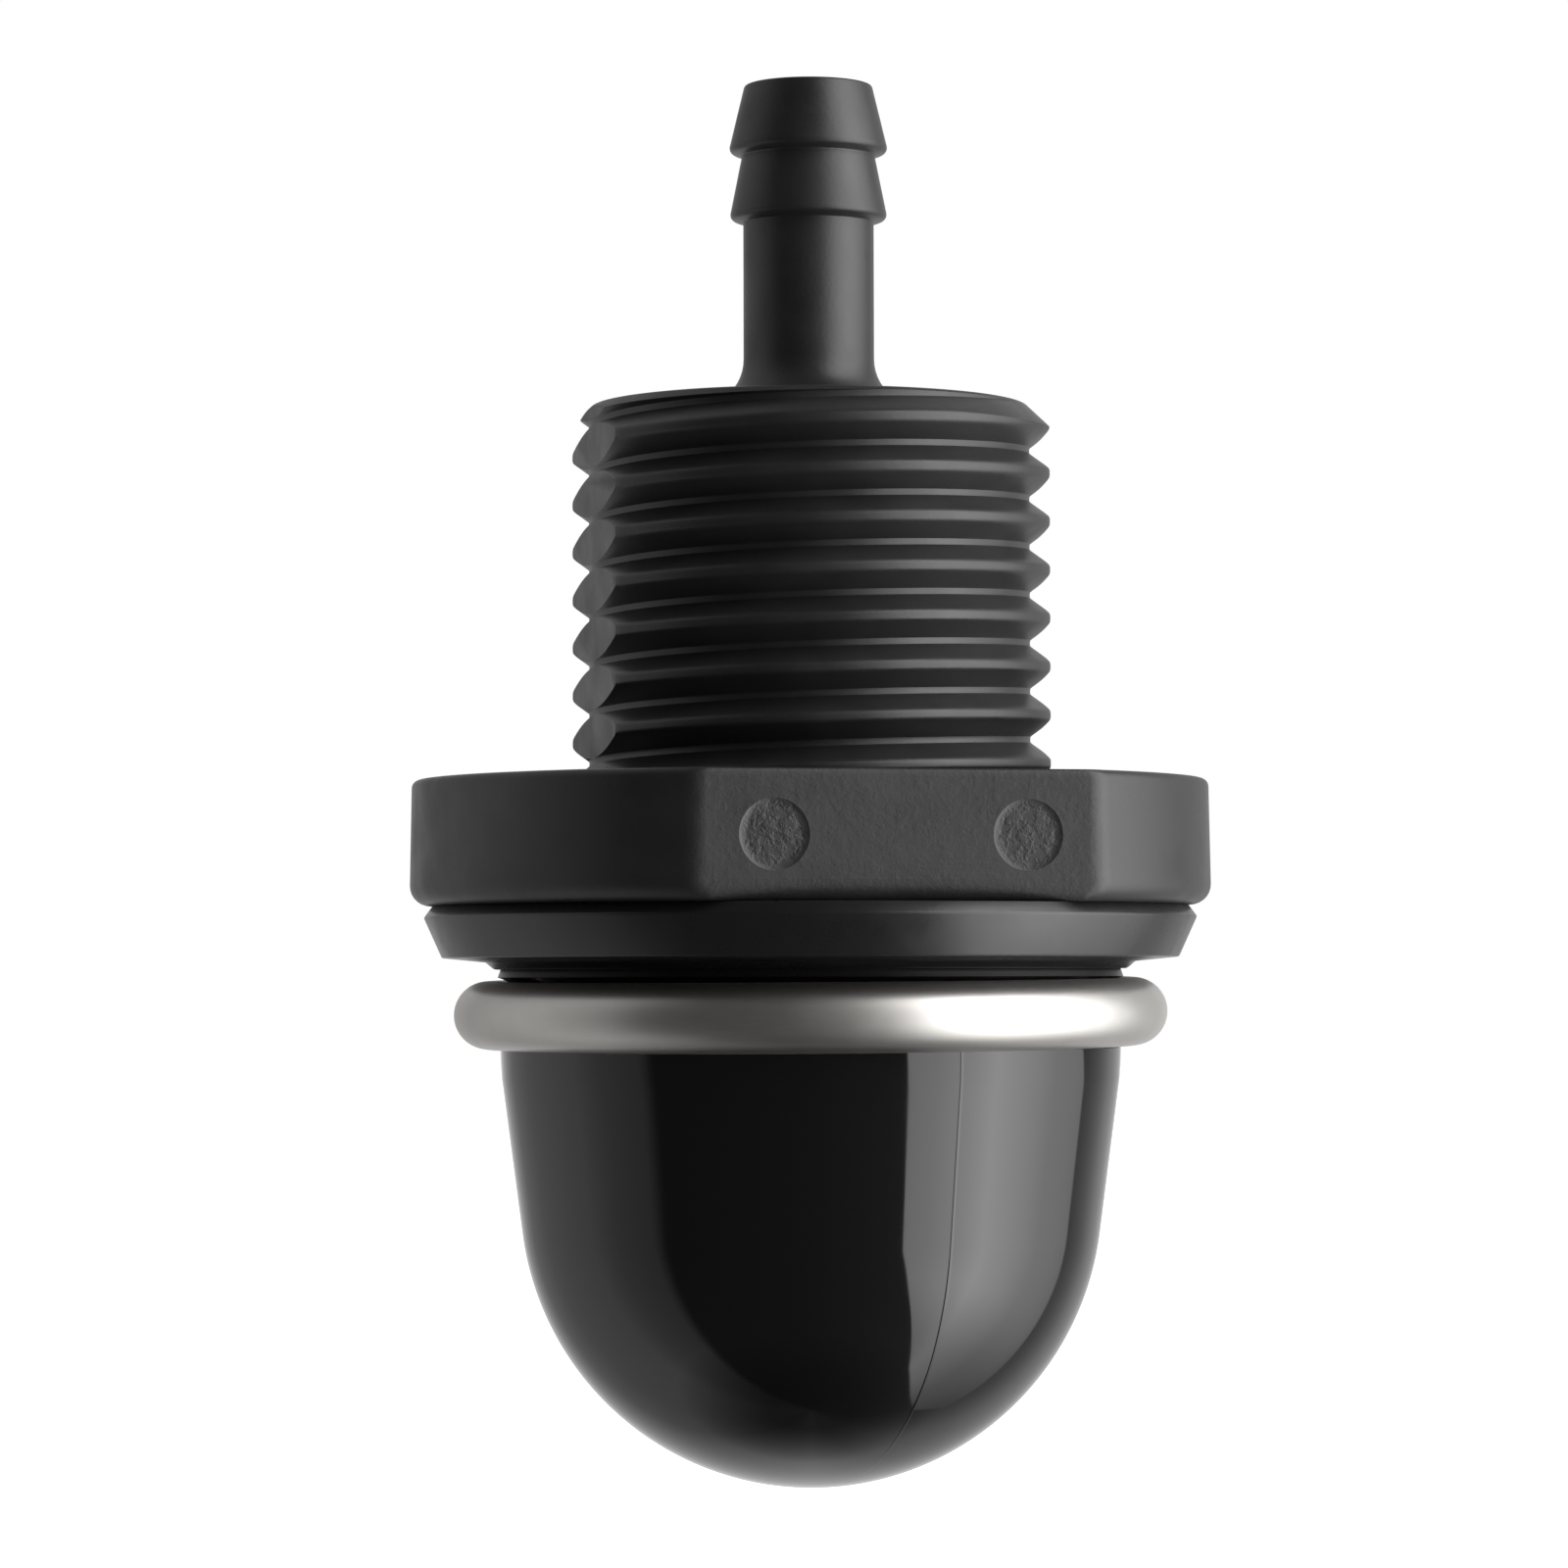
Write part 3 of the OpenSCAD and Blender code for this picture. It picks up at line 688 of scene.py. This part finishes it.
def makeDome(material):
    line = math.radians(bulbSizes["partingAngle"])
    extra = [line, line + math.pi]
    for offset in (0.06, 0.14, 0.26, 0.42, 0.6):
        for side in (-1, 1):
            extra += [line + side * math.radians(offset) + turn for turn in (0, math.pi)]
    angles = evenAngles(300, extra)
    # two walls, each closed at its own pole on the axis
    rows = []
    for isOuter, wall in ((False, reversed(domeInner())), (True, reversed(domeOuter()))):
        for r, z in wall:
            if r < 1e-6:
                rows.append([(0, 0, z)])
                continue
            ring = []
            for a in angles:
                reach = r + (ridgeAt(a, z) if isOuter else 0)
                ring.append((reach * math.cos(a), reach * math.sin(a), z))
            rows.append(ring)
    return skinRows("bulb_dome", rows, material, closed=True)


collar = makeCollar(satinRubber)
smoothPiece(collar, 35)
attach(collar, "fitting")
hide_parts("rubber_bulb")

dome = makeDome(glossyRubber)
smoothPiece(dome, 50)
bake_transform(dome)
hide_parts("rubber_bulb")
print("bulb made:", len(dome.data.polygons), "faces")


# retaining ring

ringSizes = {
    "radius": 13.38, "wire": 1.4, "height": -9.64, "around": 256, "section": 48,
    "frontDrop": 0.5, "rightRise": 0.38,
}


def makeRing():
    s = ringSizes
    profile = arcPoints(s["radius"], s["height"], s["wire"], 0, 360, s["section"])[:-1]
    ring = turnProfile("retaining_ring_wire", profile, evenAngles(s["around"]), satinSteel, closed=True)
    uv = ring.data.uv_layers.new(name="UVMap")
    for polygon in ring.data.polygons:
        row, column = divmod(polygon.index, s["around"])
        for corner, loop in enumerate(polygon.loop_indices):
            u = column + (corner in (1, 2))
            v = row + (corner in (2, 3))
            uv.data[loop].uv = (u / s["around"], v / s["section"])
    # the ring sits a little askew in its groove
    frontSlope, rightSlope = math.radians(s["frontDrop"]), math.radians(s["rightRise"])
    for vertex in ring.data.vertices:
        vertex.co.z += vertex.co.y * math.tan(frontSlope) + vertex.co.x * math.tan(rightSlope)
    return ring


ring = makeRing()
smoothPiece(ring, 60)
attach(ring, "fitting")
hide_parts("retaining_ring")


# valve springs

springSizes = {
    "coil radius": 1.1 * mm, "wire radius": 0.15 * mm, "turns": 4, "steps per turn": 32,
    "closed rise": 0.345 * mm, "finish": springWire,
    # these three are set for each spring below
    "free length": 2.97 * mm, "low end": 0.0, "offset": 0.0,
}


def springTree():
    # a wire wound from its low end up, with one nearly flat turn at each end
    tree, given, result = startTree("valveSpring", springSizes)
    total = joinMath(tree, "ADD", given["turns"], 2)
    line = tree.nodes.new("GeometryNodeMeshLine")
    count = joinMath(tree, "ADD", joinMath(tree, "MULTIPLY", total, given["steps per turn"]), 1)
    tree.links.new(count, line.inputs["Count"])
    index = tree.nodes.new("GeometryNodeInputIndex")
    turn = joinMath(tree, "DIVIDE", index.outputs[0], given["steps per turn"])
    first = joinMath(tree, "MINIMUM", turn, 1)
    afterFirst = joinMath(tree, "MAXIMUM", joinMath(tree, "SUBTRACT", turn, 1), 0)
    middle = joinMath(tree, "MINIMUM", afterFirst, given["turns"])
    last = joinMath(tree, "MAXIMUM", joinMath(tree, "SUBTRACT", afterFirst, given["turns"]), 0)
    closed = joinMath(tree, "MULTIPLY", given["closed rise"], 2)
    openLength = joinMath(tree, "SUBTRACT", given["free length"], closed)
    openRise = joinMath(tree, "DIVIDE", openLength, given["turns"])
    height = joinMath(tree, "MULTIPLY", joinMath(tree, "ADD", first, last), given["closed rise"])
    height = joinMath(tree, "ADD", height, joinMath(tree, "MULTIPLY", middle, openRise))
    height = joinMath(tree, "ADD", height, given["low end"])
    angle = joinMath(tree, "MULTIPLY", turn, 2 * math.pi)
    spot = tree.nodes.new("ShaderNodeCombineXYZ")
    forwards = joinMath(tree, "MULTIPLY", given["coil radius"], joinMath(tree, "COSINE", angle))
    tree.links.new(forwards, spot.inputs["X"])
    sideways = joinMath(tree, "MULTIPLY", given["coil radius"], joinMath(tree, "SINE", angle))
    tree.links.new(joinMath(tree, "ADD", sideways, given["offset"]), spot.inputs["Y"])
    tree.links.new(height, spot.inputs["Z"])
    move = tree.nodes.new("GeometryNodeSetPosition")
    tree.links.new(line.outputs["Mesh"], move.inputs["Geometry"])
    tree.links.new(spot.outputs[0], move.inputs["Position"])
    path = tree.nodes.new("GeometryNodeMeshToCurve")
    tree.links.new(move.outputs["Geometry"], path.inputs["Mesh"])
    section = tree.nodes.new("GeometryNodeCurvePrimitiveCircle")
    section.inputs["Resolution"].default_value = 10
    tree.links.new(given["wire radius"], section.inputs["Radius"])
    sweep = tree.nodes.new("GeometryNodeCurveToMesh")
    sweep.inputs["Fill Caps"].default_value = True
    tree.links.new(path.outputs["Curve"], sweep.inputs["Curve"])
    tree.links.new(section.outputs["Curve"], sweep.inputs["Profile Curve"])
    endTree(tree, sweep.outputs["Mesh"], given["finish"], result)
    return tree


coilTree = springTree()
for name, node, ball, anchor in (("delivery_coil", "delivery_spring", "delivery_valve", "high"),
                                 ("inlet_coil", "inlet_spring", "inlet_valve", "low")):
    low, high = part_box(node)
    wire = springSizes["wire radius"]
    sizes = dict(springSizes)
    sizes["low end"] = low[2] + wire
    sizes["free length"] = high[2] - low[2] - 2 * wire
    sizes["offset"] = (low[1] + high[1]) / 2
    coil = growPiece(name, coilTree, sizes)
    smoothPiece(coil, 60)
    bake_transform(coil)
    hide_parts(node)
print("ring and springs made")


# finishes of the parts inside, which keep their own shapes

insideFinishes = {
    "valve_carrier": acetal, "carrier_o_ring": nitrile, "outlet_o_ring": nitrile, "snap_ring": springWire,
    "delivery_ball": ballSteel, "inlet_ball": ballSteel,
    "delivery_cap": turnedBrass, "inlet_cap": turnedBrass,
}
for node, material in insideFinishes.items():
    nodes[node].data.materials.clear()
    nodes[node].data.materials.append(material)


# camera, floor and light

cameraPlace = {
    "from": (-0.05771, -0.22891, -0.0083), "at": (-0.0010455, 0.0002636, -0.00014), "lens": 130.5,
    "roll": -0.144,
}
camera = bpy.data.cameras.new("camera")
camera.lens = cameraPlace["lens"]
camera.sensor_width = 36
camera.clip_start, camera.clip_end = 0.01, 20
cameraObject = bpy.data.objects.new("camera", camera)
bpy.context.scene.collection.objects.link(cameraObject)
cameraObject.location = cameraPlace["from"]
aim = Vector(cameraPlace["at"]) - Vector(cameraPlace["from"])
cameraObject.rotation_mode = "QUATERNION"
level = aim.to_track_quat("-Z", "Y")
cameraObject.rotation_quaternion = level @ Quaternion((0, 0, 1), math.radians(cameraPlace["roll"]))
bpy.context.scene.camera = cameraObject

# directions round the object are counted from the front, which lies 14.15 degrees left of the flat's normal
frontAngle = math.radians(-104.15)


def roundTo(azimuth, elevation):
    # unit vector for an azimuth counted to the right from the front, and an elevation, in degrees
    a, e = frontAngle + math.radians(azimuth), math.radians(elevation)
    return Vector((math.cos(a) * math.cos(e), math.sin(a) * math.cos(e), math.sin(e)))


floorSizes = {"half": 3, "height": -0.06}
half, height = floorSizes["half"], floorSizes["height"]
floorCorners = [(-half, -half, height), (half, -half, height), (half, half, height), (-half, half, height)]
floor = makePiece("floor", floorCorners, [(0, 1, 2, 3)])
paper, tree, shader = startFinish("whitePaper", (0.9, 0.9, 0.9), 0.8)
shader.inputs["Emission Color"].default_value = (1, 1, 1, 1)
shader.inputs["Emission Strength"].default_value = 1.0
floor.data.materials.append(paper)
floor.visible_glossy = False
floor.visible_diffuse = False
floor.visible_shadow = False

backdropLevels = [  # azimuth from the front, brightness of the studio wall there
    (-180, 0.95), (-165, 0.72), (-146, 0.46), (-130, 0.5), (-112, 0.64), (-98, 0.7), (-84, 0.52),
    (-66, 0.4), (-60, 0.07), (0, 0.05), (30, 0.07), (118, 0.2), (134, 0.42), (146, 0.62), (165, 0.68),
    (180, 0.95),
]


def azimuthAt(tree, socket):
    # angle of a direction round the axis, to the right from the front, and its height
    place = tree.nodes.new("ShaderNodeTexCoord")
    split = tree.nodes.new("ShaderNodeSeparateXYZ")
    tree.links.new(place.outputs[socket], split.inputs[0])
    x, y, z = split.outputs
    c, s = math.cos(frontAngle), math.sin(frontAngle)
    toFront = joinMath(tree, "ADD", joinMath(tree, "MULTIPLY", x, c), joinMath(tree, "MULTIPLY", y, s))
    toRight = joinMath(tree, "ADD", joinMath(tree, "MULTIPLY", x, -s), joinMath(tree, "MULTIPLY", y, c))
    return joinMath(tree, "ARCTAN2", toRight, toFront), z


def rampRound(tree, azimuth, levels, start, end, brightest=1.0):
    ramp = tree.nodes.new("ShaderNodeValToRGB")
    stops = ramp.color_ramp.elements
    for i, (angle, level) in enumerate(levels):
        stop = stops[i] if i < 2 else stops.new(1)
        stop.position = (angle - start) / (end - start)
        stop.color = (level / brightest,) * 3 + (1,)
    share = remap(tree, azimuth, math.radians(start), math.radians(end), 0, 1)
    tree.links.new(share, ramp.inputs["Fac"])
    return ramp.outputs["Color"]


def lightRoom():
    world = bpy.data.worlds.new("studio")
    bpy.context.scene.world = world
    world.use_nodes = True
    tree = world.node_tree
    tree.nodes.clear()
    out = tree.nodes.new("ShaderNodeOutputWorld")
    azimuth, z = azimuthAt(tree, "Generated")
    colour = rampRound(tree, azimuth, backdropLevels, -180, 180)
    # straight up and straight down are dark
    fade = remap(tree, joinMath(tree, "ABSOLUTE", z), 0.98, 0.8, 0.12, 1)
    room = tree.nodes.new("ShaderNodeBackground")
    tree.links.new(colour, room.inputs["Color"])
    tree.links.new(fade, room.inputs["Strength"])
    white = tree.nodes.new("ShaderNodeBackground")
    white.inputs["Color"].default_value = (1, 1, 1, 1)
    ray = tree.nodes.new("ShaderNodeLightPath")
    mix = tree.nodes.new("ShaderNodeMixShader")
    tree.links.new(ray.outputs["Is Camera Ray"], mix.inputs["Fac"])
    tree.links.new(room.outputs[0], mix.inputs[1])
    tree.links.new(white.outputs[0], mix.inputs[2])
    tree.links.new(mix.outputs[0], out.inputs["Surface"])


softboxSizes = {"middle": 76, "height": -0.018, "reach": 0.6, "rows": 14}
softboxOutline = [  # azimuth and elevation of the softbox's edge, seen from the bulb
    (34, 50), (34, 20), (35, 0), (36, -12), (37, -19), (44, -34), (58, -50.5), (72, -59), (88, -62.5),
    (102, -63.5), (119, -62), (128, -52), (126, -38), (125, -28), (124, -18), (122, -8), (119, 0), (117, 20),
    (112, 50), (73, 62),
]
softboxLevels = [  # azimuth from the front, brightness of the softbox there
    (34, 3.0), (47, 3.6), (60, 4.6), (72, 5.7), (86, 4.2), (102, 2.4), (125, 1.0),
]


def makeSoftbox():
    # a card of rows that widen from the softbox's middle to its outline
    middle, reach, rows = softboxSizes["middle"], softboxSizes["reach"], softboxSizes["rows"]
    centre = Vector((0, 0, softboxSizes["height"]))
    points, faces = [tuple(centre + roundTo(middle, 0) * reach)], []
    n = len(softboxOutline)
    for k in range(1, rows + 1):
        t = k / rows
        for azimuth, elevation in softboxOutline:
            points.append(tuple(centre + roundTo(middle + (azimuth - middle) * t, elevation * t) * reach))
    for j in range(n):
        faces.append((0, 1 + j, 1 + (j + 1) % n))
        for k in range(rows - 1):
            a, b = 1 + k * n, 1 + (k + 1) * n
            faces.append((a + j, b + j, b + (j + 1) % n, a + (j + 1) % n))
    card = makePiece("softbox", points, faces)
    card.visible_camera = False
    card.visible_shadow = False
    material = bpy.data.materials.new("softboxGlow")
    material.use_nodes = True
    tree = material.node_tree
    tree.nodes.clear()
    out = tree.nodes.new("ShaderNodeOutputMaterial")
    glow = tree.nodes.new("ShaderNodeEmission")
    brightest = max(level for azimuth, level in softboxLevels)
    azimuth, z = azimuthAt(tree, "Object")
    colour = rampRound(tree, azimuth, softboxLevels, 0, 180, brightest)
    # the lower end is dimmer
    fade = remap(tree, z, -0.54, -0.27, 0.45, 1, True)
    tree.links.new(colour, glow.inputs["Color"])
    tree.links.new(joinMath(tree, "MULTIPLY", fade, brightest), glow.inputs["Strength"])
    tree.links.new(glow.outputs[0], out.inputs["Surface"])
    card.data.materials.append(material)


lightRoom()
makeSoftbox()

view = bpy.context.scene.view_settings
view.view_transform = "Standard"
view.look = "None"
view.exposure = 0
view.gamma = 1
print("camera, floor and light made")
